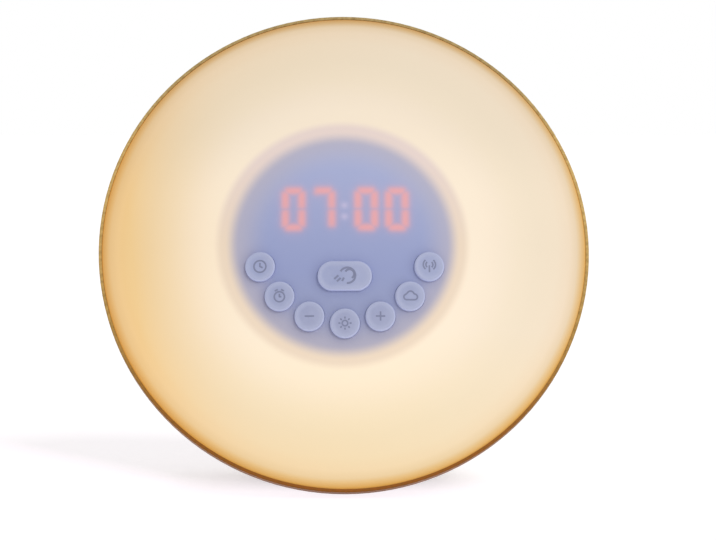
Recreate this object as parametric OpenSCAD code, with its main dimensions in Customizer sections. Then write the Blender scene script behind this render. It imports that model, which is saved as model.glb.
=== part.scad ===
// Sunrise alarm clock: a leaning round lamp with a domed milky face, eight keys, a tapered rear housing and
// a speaker. Millimetres. +Z is up, the face looks to -Y, and the origin lies under the middle of the clock
// on the surface it stands on.

/* [Face] */
// Outer radius of the trim ring, the widest piece
ring_r = 85; // [83:0.5:88]
// Lean of the face back from upright, in degrees
lean = 17; // [16:0.5:18]
// Height of the diffuser's dome over its edge
dome_rise = 10; // [9:0.5:11.5]
// Thickness of the diffuser
diffuser_t = 2.4; // [2.2:0.1:2.6]
// Radius of the diffuser's rounded shoulder
shoulder_r = 3; // [2:0.1:3.5]
// Depth of the diffuser's skirt behind its edge
skirt_h = 5; // [4.6:0.1:5.4]
// Thickness of the tongue that the diffuser sends into the housing
tongue_t = 1.2; // [1:0.1:1.5]
// Length of the tongue
tongue_l = 4.2; // [3:0.1:4.4]
// Radial step from the skirt in to the tongue
tongue_step = 3.2; // [3:0.1:3.5]
// Radial width of the trim ring
ring_t = 1.1; // [0.9:0.1:1.4]
// Distance of the ring's front face behind the diffuser's edge
ring_back = 1.6; // [1.2:0.1:2.2]
// Edge rounding of the trim ring
ring_round = 0.5; // [0.3:0.1:0.7]
// Thickness of the ring's inner lip, clamped behind the skirt
lip_t = 0.6; // [0.5:0.1:0.8]
// Inward reach of the lip
lip_reach = 1.6; // [1.2:0.1:1.8]

/* [Keys] */
// Radius of a round key
key_r = 5.15; // [4.9:0.05:5.3]
// Radius of the arc that the round keys lie on
arc_r = 31; // [30.8:0.1:31.6]
// Height of the arc's centre above the face's centre
arc_up = 2.5; // [2.2:0.1:3.4]
// Angle between neighbouring keys on the arc
key_pitch = 23; // [22.5:0.25:24]
// Distance of the snooze key's centre under the face's centre
snooze_down = 12.1; // [11.5:0.1:12.6]
// Length of the straight part of the snooze key
snooze_straight = 8.4; // [7:0.1:9]
// How far a key stands proud of the dome
key_proud = 1.2; // [0.9:0.1:1.5]
// Travel of a key
key_travel = 0.4; // [0.2:0.05:0.5]
// Rounding of a key's top edge
key_round = 0.6; // [0.4:0.1:0.8]
// Depth of the finger dish in a key's top
key_dish = 0.25; // [0.1:0.05:0.4]
// Clearance between a key and its hole
key_gap = 0.3; // [0.2:0.05:0.35]
// Reach of the flange that keeps a key in, past its hole
flange_reach = 0.5; // [0.4:0.05:0.6]
// Thickness of the flange
flange_t = 0.8; // [0.6:0.1:0.9]
// Radius of a key's stem
stem_r = 2; // [1.8:0.1:2.2]
// Side of a switch body
switch_side = 6; // [5.6:0.1:6.2]
// Height of a switch body
switch_h = 3.4; // [3.2:0.1:3.6]
// Radius of a switch plunger
plunger_r = 1.7; // [1.5:0.1:1.8]
// How far a plunger stands out of its switch at rest
plunger_out = 0.9; // [0.8:0.05:1]

/* [Display] */
// Height of a digit
digit_h = 15.5; // [15:0.1:16]
// Width of a digit
digit_w = 7.8; // [7.4:0.1:8.2]
// Width of one bar of a digit
bar_w = 2.1; // [1.8:0.1:2.3]
// Distance between the two middle digits
middle_pitch = 14.5; // [14:0.1:15]
// Distance between an outer digit and its neighbour
digit_pitch = 11; // [10.6:0.1:11.4]
// Height of the digits' centre above the face's centre
digit_up = 12.25; // [11.5:0.25:12.5]
// Width of the digit module
module_w = 50.4; // [49:0.1:51]
// Height of the digit module
module_h = 19; // [18.6:0.1:19.4]
// Thickness of the coloured inserts in the digit module
insert_t = 1; // [0.6:0.1:1.5]

/* [Light] */
// Inner radius of the light shield, the edge of the dark middle
shield_r = 39.3; // [38.8:0.1:40]
// Wall of the light shield
shield_t = 1.6; // [1.4:0.1:1.8]
// Outer radius of the shield's front flange
shield_flange_r = 44.4; // [43:0.1:45]
// Inner radius of the shield's ledge and of the bowl's opening
opening_r = 33; // [32:0.1:33.4]
// Distance of the reflector bowl's floor behind the diffuser's edge
bowl_depth = 12.4; // [12:0.1:13]
// Thickness of the reflector bowl
bowl_t = 1.6; // [1.4:0.1:1.8]
// Radius of the curve between the bowl's floor and its wall
bowl_round = 8; // [6:0.5:9]
// Inner radius of the lamp's ring board
lamp_in_r = 47; // [46:0.5:48]
// Outer radius of the lamp's ring board
lamp_out_r = 59; // [58:0.5:61]
// Number of lamp chips
chip_count = 24; // [12:1:30]

/* [Housing] */
// Wall of the housing
wall = 2.4; // [2.2:0.1:2.6]
// Angle at which the housing narrows behind the ring, in degrees
taper = 10; // [9.5:0.25:10.5]
// Distance from the face to the centre of the housing's ball-shaped rear
ball_back = 26; // [25:0.5:27]
// Distance from the centre of the face to the flat back
back_y = 66; // [65:0.5:68]
// Radius between the flat back and the rest of the housing
back_round = 10; // [9:0.5:11]
// Gap between the trim ring and the surface that the clock stands on
ring_clear = 1; // [0.8:0.1:1.2]
// Height of the rubber feet under the base
foot_h = 1.2; // [1:0.1:1.4]
// Radius of a rubber foot
foot_r = 4; // [3.5:0.1:4.2]
// Depth of the pockets that hold the feet
foot_pocket = 0.8; // [0.6:0.1:1]
// Distance of the housing screws from the middle plane
tower_side = 50; // [49:0.5:51]
// Distance of the housing screws over and under the face's centre
tower_up = 30; // [28:0.5:31]
// Outer radius of a screw tower
tower_r = 4.8; // [4.6:0.1:5]
// Radius of the recess that a housing screw is sunk in
recess_r = 3.3; // [3.1:0.1:3.5]

/* [Battery bay] */
// Radius of a backup cell
cell_r = 5.25; // [5.1:0.05:5.3]
// Length of a backup cell with its nipple
cell_l = 44.5; // [44:0.1:44.8]
// Distance between neighbouring cells
cell_pitch = 10.9; // [10.7:0.1:11.1]
// Length of a contact spring between its contact plate and its cell
spring_l = 5.7; // [5.3:0.1:6.1]
// Inner height of the bay
bay_h = 33; // [32.8:0.1:33.4]
// Depth of the bay behind its door
bay_d = 11.6; // [11.4:0.1:12]
// Height of the bay's centre over the base
bay_up = 46; // [45.5:0.5:47]
// Wall of the bay
bay_t = 1.6; // [1.4:0.1:1.8]
// Ledge that the battery door rests on
door_ledge = 2.2; // [1.8:0.1:2.6]
// Clearance around the battery door
door_gap = 0.3; // [0.2:0.05:0.4]
// Radius of the lugs that the door tips about
lug_r = 0.7; // [0.6:0.05:0.8]
// Length of a lug
lug_l = 1.6; // [1.2:0.1:2]

/* [Speaker] */
// Height of the speaker's centre over the base
speaker_up = 99; // [98:0.5:100]
// Outer radius of the speaker
speaker_r = 25; // [24.6:0.1:25.5]
// Depth of the speaker without its magnet
basket_d = 10; // [9.5:0.1:11]
// Radius of the magnet
magnet_r = 15; // [14:0.1:15.2]
// Thickness of the magnet
magnet_t = 5; // [4:0.1:6]
// Radius of the voice coil
coil_r = 6.9; // [6.6:0.1:7.2]
// Travel of the cone each way
cone_travel = 0.8; // [0.4:0.1:1]
// Radius of a hole in the grille
grille_hole_r = 1.1; // [0.9:0.05:1.2]
// Distance between the rings of holes in the grille
grille_pitch = 4.2; // [4:0.1:4.4]
// Number of rings of holes around the middle hole
grille_rings = 4; // [2:1:4]

/* [Sockets] */
// Distance of the power socket and of the aerial's bush from the middle plane
socket_side = 37; // [36.5:0.5:37.5]
// Height of the power socket and of the bush over the base
socket_up = 44; // [43:0.5:46]
// Radius of the power socket's bore
socket_bore_r = 2.8; // [2.7:0.05:2.9]
// Depth of the power socket's bore
socket_depth = 9; // [8:0.5:9.5]
// Side of the power socket's body
socket_side_l = 10; // [9.5:0.1:10.4]
// Radius of the power socket's centre pin
pin_r = 1; // [0.9:0.05:1.1]
// Radius of the hole for the aerial's rubber bush
bush_r = 2.5; // [2.2:0.1:2.8]

/* [Boards] */
// Thickness of the circuit boards
board_t = 1.6; // [1.4:0.1:1.7]
// Distance of the display board behind the diffuser's edge
display_depth = 2.4; // [2.2:0.1:2.6]
// Distance of the main board behind the bowl's floor
main_depth = 12; // [11:0.5:13]
// Width of the main board
main_w = 84; // [82:1:84]
// Height of the main board
main_h = 56; // [54:1:58]
// Radius of the shank of the small screws
screw_r = 1; // [0.9:0.05:1.1]
// Radius of the shank of the housing screws
housing_screw_r = 1.45; // [1.3:0.05:1.5]

/* [Hidden] */
$fn = 96;

big = 200;          // past every side of the clock
slip = 0.1;         // gap between pieces that are pushed together by hand
touch = 0.05;       // gap between curved faces that meet
fine_fit = 0.05;    // radial gap of a screw in its pilot hole

// The face's frame: x across, y up the face, z out of it, 0 at the edge of the dome
seam_z = -(skirt_h + lip_t);
skirt_r = ring_r - ring_t - slip;
dome_r = (skirt_r * skirt_r + dome_rise * dome_rise) / (2 * dome_rise);
dome_z = dome_rise - dome_r;
tongue_out_r = skirt_r - tongue_step;
tongue_in_r = tongue_out_r - tongue_t;
shoulder_x = skirt_r - shoulder_r;
shoulder_z = dome_z + sqrt(pow(dome_r - shoulder_r, 2) - shoulder_x * shoulder_x);
face_z = ring_clear + ring_r * cos(lean) - seam_z * sin(lean);
front_y = shoulder_x * sin(lean) + shoulder_z * cos(lean) + shoulder_r;
face_y = (front_y - back_y) / 2;
rear_y = face_y + back_y;

// The housing: a cone behind the ring, and a ball that the cone runs into
rim_r = ring_r - 0.4;
ball_r = (rim_r - tan(taper) * (seam_z + ball_back)) * cos(taper);
ball_y = face_y + ball_back * cos(lean);
ball_z = face_z - ball_back * sin(lean);
flat_y = rear_y - ball_y;
round_y = flat_y - back_round;
round_x = sqrt(pow(ball_r - back_round, 2) - round_y * round_y) + 0.3;
inner_y = rear_y - wall;

// Boards and light, in the face's frame
display_z = -display_depth;
ledge_z = display_z - board_t;
ledge_t = 1.6;
floor_z = -bowl_depth;
floor_back_z = floor_z - bowl_t;
bowl_r = tongue_in_r - 0.5;
bowl_wall_z = -skirt_h + 0.6;
lamp_hole_at = [43.6, 0];
lamp_hole_r = 2.5;
main_z = floor_back_z - main_depth;
main_back_z = main_z - board_t;
module_front_z = dome_under(norm([module_w / 2, digit_up + module_h / 2])) - 0.4;
flange_front_z = dome_under(shield_flange_r) - 0.2;
chip_r = (lamp_in_r + lamp_out_r) / 2;
lamp_t = 1.2;
display_board_r = shield_r - 0.4;

// Screws
display_screw_at = [[-34.5, 6], [34.5, 6], [0, 34.8]];
shield_screw_at = [[-23.2, 27.6], [23.2, 27.6], [0, -36]];
boss_r = 2.6;
pilot_l = 5.4;
tower_at = [for (sx = [-1, 1], sy = [-1, 1]) [sx * tower_side, sy * tower_up]];
bowl_boss_r = 4;
bowl_boss_l = 8;
tower_z = floor_back_z - bowl_boss_l;
tower_web = 5;
main_post_at = [for (sx = [-1, 1], sy = [-1, 1]) [sx * (main_w / 2 - 5), sy * (main_h / 2 - 6)]];
main_post_r = 2.8;
head_h = 1.6;
head_r = 2;
housing_head_r = 2.8;
housing_head_h = 2;

// Keys: the seven round ones from left to right, then the snooze key
hole_r = key_r + key_gap;
flange_r = hole_r + flange_reach;
key_seat = 0.25;
plunger_top_z = display_z + switch_h + plunger_out;
function arc_key(i) = arc_r * [sin((i - 3) * key_pitch), -cos((i - 3) * key_pitch)] + [0, arc_up];
snooze_at = [0, -snooze_down];
all_keys = concat([for (i = [0:6]) arc_key(i)], [snooze_at]);

// Heights of the dome's outer and inner surface at distance r from its middle
function dome_over(r) = dome_z + sqrt(dome_r * dome_r - r * r);
function dome_under(r) = dome_z + sqrt(pow(dome_r - diffuser_t, 2) - r * r);
// Slope of the dome under a key, its distance along that slope's normal to its plunger, and the plunger's
// place
function key_slope(p) = asin(norm(p) / dome_r);
function plunger_reach(p) = (dome_over(norm(p)) - plunger_top_z) / cos(key_slope(p));
function plunger_at(p) = p * (1 - plunger_reach(p) / dome_r);

// Digits
digit_at = [for (s = [-1, 1]) each [s * (middle_pitch / 2), s * (middle_pitch / 2 + digit_pitch)]];
bar_gap = 0.25;
dot_r = 0.9;
dot_up = 1.9;

// Battery bay and door
contact_t = 0.4;
bay_w = cell_l + spring_l + 2 * contact_t;
door_t = wall - slip;
door_w = bay_w + 2 * door_ledge;
door_h = bay_h + 2 * door_ledge;
lug_y = rear_y - door_t / 2;
lug_z = bay_up + door_h / 2 - door_t / 2;
notch_r = 7;
notch_depth = 1.6;
cell_y = inner_y - bay_d + slip + cell_r;
nipple_r = 1.9;
nipple_l = 0.9;
spring_wire_r = 0.35;
spring_turns = 3;

// Speaker, measured inward from the outside of the back
gasket_t = 1;
gasket_back = wall + gasket_t;
basket_t = 1;
basket_back = gasket_back + basket_d;
top_plate_t = 1.6;
magnet_front = basket_back + top_plate_t;
magnet_back = magnet_front + magnet_t;
yoke_t = 1.8;
pole_r = coil_r - 0.5;
plate_in_r = coil_r + 0.5;
coil_wall = 0.3;
cone_r = 18.6;
cone_t = 0.5;
cone_front = gasket_back + 0.6;
coil_front = cone_front + 5;
surround_out_r = 22.2;
surround_r = (surround_out_r - cone_r) / 2;
basket_in_r = surround_out_r + 1.2;
speaker_ear_r = speaker_r + 2;
speaker_boss_r = 2.4;

// Sockets
bush_lip = 1.2;
bush_lip_t = 0.8;
bush_bore_r = 0.9;

wire_r = 0.7;
wire_sides = 8;
wire_gap = 0.15;
socket_end_y = rear_y - wall - socket_depth - 2.6;
bay_front_y = inner_y - bay_d - bay_t;

// Places

module on_face() translate([0, face_y, face_z]) rotate([90 - lean, 0, 0]) children();

// z runs in from the outside of the flat back, at x and height up
module from_back(x, up) translate([x, rear_y, up]) rotate([90, 0, 0]) children();

// The frame of a key at p: z along the dome's normal, 0 on the dome, x across the face
module on_dome(p) translate([0, 0, dome_z]) rotate(atan2(p[1], p[0])) rotate([0, key_slope(p), 0])
    translate([0, 0, dome_r]) rotate(-atan2(p[1], p[0])) children();

// A point of the face's frame in the clock's own
function face_point(p) = [
    p[0],
    face_y + p[1] * sin(lean) - p[2] * cos(lean),
    face_z + p[1] * cos(lean) + p[2] * sin(lean)
];

// Shapes

// Ring or disc between two radii, from low to high
module ring(out_r, in_r, low, high) translate([0, 0, low]) linear_extrude(high - low) difference() {
    circle(out_r);
    if (in_r > 0) circle(in_r);
}

module block(size, low, high) translate([-size[0] / 2, -size[1] / 2, low])
    cube([size[0], size[1], high - low]);

// The corner that rounding by r takes off, for a corner at the origin that points to +x +y
module corner(r) translate([-r, -r]) difference() {
    square(r + 1);
    circle(r);
}

// A profile turned about z, its two halves drawn apart by length along x
module stretched(length) {
    if (length > 0) {
        for (side = [-1, 1]) translate([side * length / 2, 0, 0]) rotate(-90 * side)
            rotate_extrude(angle = 180) children();
        rotate([90, 0, 90]) linear_extrude(length, center = true) {
            children();
            mirror([1, 0]) children();
        }
    } else rotate_extrude() children();
}

// A screw with its head's underside at 0 and its shank towards +z
module screw(shank_r, length, top_r, top_h) {
    ring(shank_r, 0, 0, length);
    difference() {
        ring(top_r, 0, -top_h, 0);
        for (turn = [0, 90]) rotate(turn) block([2 * top_r - 1.2, 0.6], -top_h - 1, -top_h / 2);
    }
}

// A point on the smooth curve through points b and c, with a before them and d after
function curve_point(a, b, c, d, t) =
    0.5 * (2 * b + (c - a) * t + (2 * a - 5 * b + 4 * c - d) * t * t + (3 * b - a - 3 * c + d) * t * t * t);
wire_steps = 3;
function smooth(p) = let (n = len(p)) concat([
    for (i = [0:n - 2], s = [0:wire_steps - 1])
        curve_point(p[max(i - 1, 0)], p[i], p[i + 1], p[min(i + 2, n - 1)], s / wire_steps)
], [p[n - 1]]);
function unit(v) = v / norm(v);

// A round bar along a path
module tube(path, r) {
    n = len(path);
    tangents = [for (i = [0:n - 1]) unit(path[min(i + 1, n - 1)] - path[max(i - 1, 0)])];
    side_start = unit(cross(tangents[0], [0.3, 0.2, 0.93]));
    sides = [for (i = 0, s = side_start; i < n; i = i + 1,
        s = i < n ? unit(s - tangents[i] * (s * tangents[i])) : s) s];
    polyhedron(
        [for (i = [0:n - 1], k = [0:wire_sides - 1])
            let (a = 360 * k / wire_sides, s = sides[i], c = cross(tangents[i], s))
            path[i] + r * (cos(a) * s + sin(a) * c)],
        concat(
            [[for (k = [wire_sides - 1:-1:0]) k]],
            [for (i = [0:n - 2], k = [0:wire_sides - 1]) let (k2 = (k + 1) % wire_sides, a = i * wire_sides)
                [a + k, a + k2, a + wire_sides + k2, a + wire_sides + k]],
            [[for (k = [0:wire_sides - 1]) (n - 1) * wire_sides + k]]));
}

module wire(points, r) tube(smooth(points), r);

// Face

module dome_profile() difference() {
    intersection() {
        translate([0, dome_z]) circle(dome_r, $fn = 720);
        translate([0, -skirt_h]) square([skirt_r, skirt_h + dome_rise + 1]);
    }
    difference() {
        polygon([
            [shoulder_x, shoulder_z],
            [0, dome_z] + (dome_r + 2) / (dome_r - shoulder_r) * [shoulder_x, shoulder_z - dome_z],
            [skirt_r + 2, dome_rise],
            [skirt_r + 2, shoulder_z]
        ]);
        translate([shoulder_x, shoulder_z]) circle(shoulder_r);
    }
}

module hollow_profile() intersection() {
    translate([0, dome_z]) circle(dome_r - diffuser_t, $fn = 720);
    translate([0, -big]) square([tongue_in_r, 2 * big]);
}

module front_diffuser() color("#f7e3c0") on_face() difference() {
    union() {
        rotate_extrude() difference() {
            union() {
                dome_profile();
                translate([tongue_in_r, -skirt_h - tongue_l]) square([tongue_t, tongue_l + 1]);
            }
            hollow_profile();
        }
        for (p = display_screw_at) translate(p) ring(boss_r, 0, display_z, dome_under(norm(p)) + 1);
    }
    for (p = display_screw_at) translate(p) ring(screw_r + fine_fit, 0, display_z - 1, display_z + pilot_l);
    for (i = [0:7]) on_dome(all_keys[i]) stretched(i == 7 ? snooze_straight : 0)
        translate([0, -diffuser_t - 2]) square([hole_r, diffuser_t + 4]);
}

module edge_ring() color("#a9773b") on_face() rotate_extrude() difference() {
    union() {
        translate([ring_r - ring_t, seam_z]) square([ring_t, -ring_back - seam_z]);
        translate([ring_r - ring_t - lip_reach, seam_z]) square([lip_reach + 0.1, lip_t]);
    }
    translate([ring_r, -ring_back]) corner(ring_round);
}

// Keys

module key_body(p, length) on_face() on_dome(p) {
    dish_r = (pow(key_r - key_round, 2) + key_dish * key_dish) / (2 * key_dish);
    flange_top = -diffuser_t - key_seat;
    stretched(length) difference() {
        union() {
            translate([0, flange_top - touch]) square([key_r, key_proud - flange_top + touch]);
            translate([0, flange_top - flange_t]) square([flange_r, flange_t]);
        }
        translate([key_r, key_proud]) corner(key_round);
        translate([0, key_proud - key_dish + dish_r]) circle(dish_r, $fn = 360);
    }
    ring(stem_r, 0, stem_r * tan(key_slope(p)) + touch - plunger_reach(p), flange_top - flange_t / 2);
}

module plunger(p) on_face() translate(plunger_at(p))
    ring(plunger_r, 0, display_z + 1.2, plunger_top_z);

module clock_key() color("#aeb2cf") key_body(arc_key(0), 0);
module alarm_key() color("#aeb2cf") key_body(arc_key(1), 0);
module minus_key() color("#aeb2cf") key_body(arc_key(2), 0);
module light_key() color("#aeb2cf") key_body(arc_key(3), 0);
module plus_key() color("#aeb2cf") key_body(arc_key(4), 0);
module sound_key() color("#aeb2cf") key_body(arc_key(5), 0);
module radio_key() color("#aeb2cf") key_body(arc_key(6), 0);
module snooze_key() color("#aeb2cf") key_body(snooze_at, snooze_straight);

module clock_plunger() color("#222222") plunger(arc_key(0));
module alarm_plunger() color("#222222") plunger(arc_key(1));
module minus_plunger() color("#222222") plunger(arc_key(2));
module light_plunger() color("#222222") plunger(arc_key(3));
module plus_plunger() color("#222222") plunger(arc_key(4));
module sound_plunger() color("#222222") plunger(arc_key(5));
module radio_plunger() color("#222222") plunger(arc_key(6));
module snooze_plunger() color("#222222") plunger(snooze_at);

module switch_bodies() color("#b9bcc0") on_face() for (p = all_keys) translate(plunger_at(p)) difference() {
    block([switch_side, switch_side], display_z, display_z + switch_h);
    ring(plunger_r + slip, 0, display_z + 1.2 - key_travel - 0.2, display_z + switch_h + 1);
}

// Display

module display_board() color("#1f5a38") on_face() difference() {
    ring(display_board_r, 0, ledge_z, display_z);
    for (p = display_screw_at) translate(p) ring(screw_r + slip, 0, ledge_z - 1, display_z + 1);
}

// Outline of one bar, along x, with pointed ends
module bar(length) polygon([
    [-length / 2, 0], [-length / 2 + bar_w / 2, bar_w / 2], [length / 2 - bar_w / 2, bar_w / 2],
    [length / 2, 0], [length / 2 - bar_w / 2, -bar_w / 2], [-length / 2 + bar_w / 2, -bar_w / 2]
]);

// Outlines of all bars and dots of the display
module display_bars() {
    half_w = (digit_w - bar_w) / 2;
    half_h = (digit_h - bar_w) / 2;
    for (x = digit_at) translate([x, digit_up]) {
        for (s = [-1, 0, 1]) translate([0, s * half_h]) bar(2 * half_w - bar_gap);
        for (sx = [-1, 1], sy = [-1, 1]) translate([sx * half_w, sy * half_h / 2]) rotate(90)
            bar(half_h - bar_gap);
    }
    for (s = [-1, 1]) translate([0, digit_up + s * dot_up]) circle(dot_r);
}

module digit_module() color("#4c5164") on_face() difference() {
    translate([0, digit_up, 0]) block([module_w, module_h], display_z, module_front_z);
    translate([0, 0, module_front_z - insert_t]) linear_extrude(insert_t + 1) display_bars();
}

module digit_segments() color("#ff7a52") on_face()
    translate([0, 0, module_front_z - insert_t]) linear_extrude(insert_t) display_bars();

module display_screws() color("#b8b8b8") on_face() for (p = display_screw_at)
    translate([p[0], p[1], ledge_z - ledge_t])
        screw(screw_r, ledge_t + board_t + pilot_l - 1, head_r, head_h);

// Lamp

module light_shield() color("#f2efe8") on_face() difference() {
    union() {
        ring(shield_r + shield_t, shield_r, floor_z, flange_front_z);
        ring(shield_flange_r, shield_r, flange_front_z - shield_t, flange_front_z);
        ring(shield_r + touch, opening_r, ledge_z - ledge_t, ledge_z);
        for (p = shield_screw_at) translate(p) ring(boss_r, 0, floor_z, ledge_z - ledge_t / 2);
    }
    for (p = display_screw_at) translate(p) ring(screw_r + slip, 0, ledge_z - ledge_t - 1, ledge_z + 1);
    for (p = shield_screw_at) translate(p) ring(screw_r + fine_fit, 0, floor_z - 1, ledge_z - ledge_t - 0.6);
}

module shield_screws() color("#b8b8b8") on_face() for (p = shield_screw_at)
    translate([p[0], p[1], floor_back_z]) screw(screw_r, bowl_t + 5, head_r, head_h);

module bowl_profile() {
    translate([opening_r, floor_back_z]) square([bowl_r - bowl_round - opening_r, bowl_t]);
    translate([bowl_r - bowl_round, floor_back_z + bowl_round]) intersection() {
        difference() {
            circle(bowl_round);
            circle(bowl_round - bowl_t);
        }
        translate([0, -bowl_round]) square(bowl_round);
    }
    translate([bowl_r - bowl_t, floor_back_z + bowl_round])
        square([bowl_t, bowl_wall_z - floor_back_z - bowl_round]);
}
module reflector_bowl() color("#fbfaf6") on_face() difference() {
    union() {
        rotate_extrude() bowl_profile();
        for (p = tower_at) translate(p) ring(bowl_boss_r, 0, tower_z, floor_back_z + 0.2);
        for (p = main_post_at) translate(p) ring(main_post_r, 0, main_z, floor_back_z + 0.2);
    }
    for (p = tower_at) translate(p) ring(housing_screw_r + fine_fit, 0, tower_z - 1, floor_back_z - 0.6);
    for (p = main_post_at) translate(p) ring(screw_r + fine_fit, 0, main_z - 1, main_z + 8);
    for (p = shield_screw_at) translate(p) ring(screw_r + slip, 0, floor_back_z - 1, floor_z + 1);
    translate(lamp_hole_at) ring(lamp_hole_r, 0, floor_back_z - 1, floor_z + 1);
}

module lamp_board() color("#f4f4f0") on_face() ring(lamp_out_r, lamp_in_r, floor_z, floor_z + lamp_t);

module lamp_chips() color("#ffd27a") on_face() for (i = [0:chip_count - 1])
    rotate((i + 0.5) * 360 / chip_count) translate([chip_r, 0, 0])
        block([2.8, 3.5], floor_z + lamp_t, floor_z + lamp_t + 0.8);

// Main board

module main_board() color("#1f5a38") on_face() difference() {
    block([main_w, main_h], main_back_z, main_z);
    for (p = main_post_at) translate(p) ring(screw_r + slip, 0, main_back_z - 1, main_z + 1);
}

module main_screws() color("#b8b8b8") on_face() for (p = main_post_at)
    translate([p[0], p[1], main_back_z]) screw(screw_r, board_t + 7, head_r, head_h);

// Piece of the given size standing on the back of the main board at p
module on_main(p) on_face() translate([p[0], p[1], main_back_z]) mirror([0, 0, 1]) children();

module control_chips() color("#1b1b1d") {
    on_main([-8, 2]) block([12, 12], 0, 1.8);
    on_main([14, 12]) block([6, 8], 0, 1.7);
    on_main([14, -2]) block([5, 4], 0, 1.5);
}

module capacitors() color("#2c3f7a") {
    on_main([main_w / 2 - 14, -6]) ring(4, 0, 0, 8);
    on_main([main_w / 2 - 14, 11 - main_h / 2]) ring(3.2, 0, 0, 7);
    on_main([main_w / 2 - 22, 11 - main_h / 2]) ring(2.5, 0, 0, 6);
}

module inductor() color("#3a3a3c") on_main([8, -16]) {
    block([8, 8], 0, 0.8);
    ring(3.6, 0, 0.7, 4);
}

module crystal() color("#c9c9c9") on_main([-8, 14]) stretched(7) square([1.7, 3.4]);

lamp_plug_at = [main_w / 2 - 8, 0];
speaker_plug_at = [-6, main_h / 2 - 6];
battery_plug_at = [-22, 8 - main_h / 2];
power_plug_at = [main_w / 2 - 8, 14];
plug_size = [7, 5];
plug_h = 5;
plug_z = main_back_z - plug_h;
module connectors() color("#efe9da") {
    on_face() translate(lamp_plug_at) block(plug_size, main_z, main_z + plug_h);
    for (p = [speaker_plug_at, battery_plug_at, power_plug_at]) on_main(p) block(plug_size, 0, plug_h);
}

// Housing

// Section of the cone and the ball behind it, inset from the outside, cut off at front
module bowl_section(inset, front) {
    small_r = ball_r - inset;
    join_z = -ball_back - small_r * sin(taper);
    edge_r = rim_r - inset / cos(taper) - tan(taper) * (seam_z - front);
    polygon([[0, front], [edge_r, front], [small_r * cos(taper), join_z], [0, join_z]]);
    intersection() {
        translate([0, -ball_back]) circle(small_r, $fn = 360);
        translate([0, join_z - big]) square([big, big]);
    }
}

// Section of the flat back, about the ball's centre, open towards the front. Its rounding stands a little out
// of the ball, so that the two cross.
module back_section(inset) {
    turn = atan2(round_y, round_x) + 6;
    difference() {
        translate([0, -big]) square([big, big + flat_y - inset]);
        translate([round_x, round_y]) difference() {
            polygon([[0, 0], big * [cos(turn), sin(turn)], [0, big]]);
            circle(back_round - inset);
        }
    }
}

module housing_form(inset, front) intersection() {
    on_face() rotate_extrude() bowl_section(inset, front);
    translate([0, ball_y, ball_z]) rotate([-90, 0, 0]) rotate_extrude() back_section(inset);
    translate([-big, -big, foot_h + inset]) cube(2 * big);
}

module towers() intersection() {
    on_face() for (p = tower_at) translate(p) ring(tower_r, 0, -big, tower_z);
    housing_form(wall / 2, seam_z);
}

module tower_holes() on_face() for (p = tower_at) translate(p) {
    ring(recess_r, 0, -big, tower_z - tower_web);
    ring(housing_screw_r + slip, 0, tower_z - tower_web - 1, tower_z + 1);
}

foot_at = [for (s = [-1, 1]) each [[s * 8, face_y + 11], [s * 17, ball_y + 9]]];

module speaker_bosses() for (turn = [45:90:315]) from_back(0, speaker_up) rotate(turn)
    translate([speaker_ear_r, 0, 0]) ring(speaker_boss_r, 0, wall / 2, gasket_back);

module speaker_pilots() for (turn = [45:90:315]) from_back(0, speaker_up) rotate(turn)
    translate([speaker_ear_r, 0, 0]) ring(screw_r + fine_fit, 0, 0.8, gasket_back + 1);

module grille_holes() from_back(0, speaker_up) translate([0, 0, -1]) linear_extrude(wall + 2) {
    circle(grille_hole_r);
    for (i = [1:grille_rings], k = [0:6 * i - 1]) rotate(60 * k / i) translate([i * grille_pitch, 0])
        circle(grille_hole_r);
}

module bay_walls() from_back(0, bay_up) {
    block([bay_w + 2 * bay_t, bay_h + 2 * bay_t], wall, wall + bay_d + bay_t);
    block([door_w + 4, door_h + 4], wall - touch, wall + bay_t);
}

module bay_space() {
    from_back(0, bay_up) {
        block([bay_w, bay_h], -1, wall + bay_d);
        block([door_w + 2 * door_gap, door_h + 2 * door_gap], -1, wall);
    }
    translate([0, lug_y, lug_z]) rotate([0, 90, 0])
        ring(lug_r + fine_fit, 0, -door_w / 2 - lug_l - slip, door_w / 2 + lug_l + slip);
    // Finger notch under the door
    from_back(0, bay_up - door_h / 2) translate([0, 0, notch_depth - notch_r]) sphere(notch_r);
}

module rear_housing() color("#f4f1ea") difference() {
    union() {
        difference() {
            housing_form(0, seam_z);
            housing_form(wall, seam_z + 2);
        }
        towers();
        speaker_bosses();
        bay_walls();
    }
    tower_holes();
    speaker_pilots();
    grille_holes();
    bay_space();
    from_back(socket_side, socket_up) ring(socket_bore_r + 1.3, 0, -1, wall + 1);
    from_back(-socket_side, socket_up) {
        ring(bush_r, 0, -1, wall + 1);
        ring(bush_r + bush_lip, 0, -1, bush_lip_t);
    }
    for (p = foot_at) translate(p) ring(foot_r + slip, 0, 0, foot_h + foot_pocket);
}

module rubber_feet() color("#d8d4cc") for (p = foot_at) translate(p) ring(foot_r, 0, 0, foot_h + foot_pocket);

module housing_screws() color("#9a9a9c") on_face() for (p = tower_at)
    translate([p[0], p[1], tower_z - tower_web])
        screw(housing_screw_r, tower_web + 6.4, housing_head_r, housing_head_h);

module battery_door() color("#f4f1ea") {
    from_back(0, bay_up) difference() {
        translate([0, -door_t / 4, 0]) block([door_w, door_h - door_t / 2], 0, door_t);
        for (i = [-2:2]) translate([0, door_h / 2 - 4 - 1.6 * (i + 2), 0]) block([14, 0.6], -1, 0.4);
    }
    translate([0, lug_y, lug_z]) rotate([0, 90, 0]) {
        ring(door_t / 2, 0, -door_w / 2, door_w / 2);
        ring(lug_r, 0, -door_w / 2 - lug_l, door_w / 2 + lug_l);
    }
}

// Backup power

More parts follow.
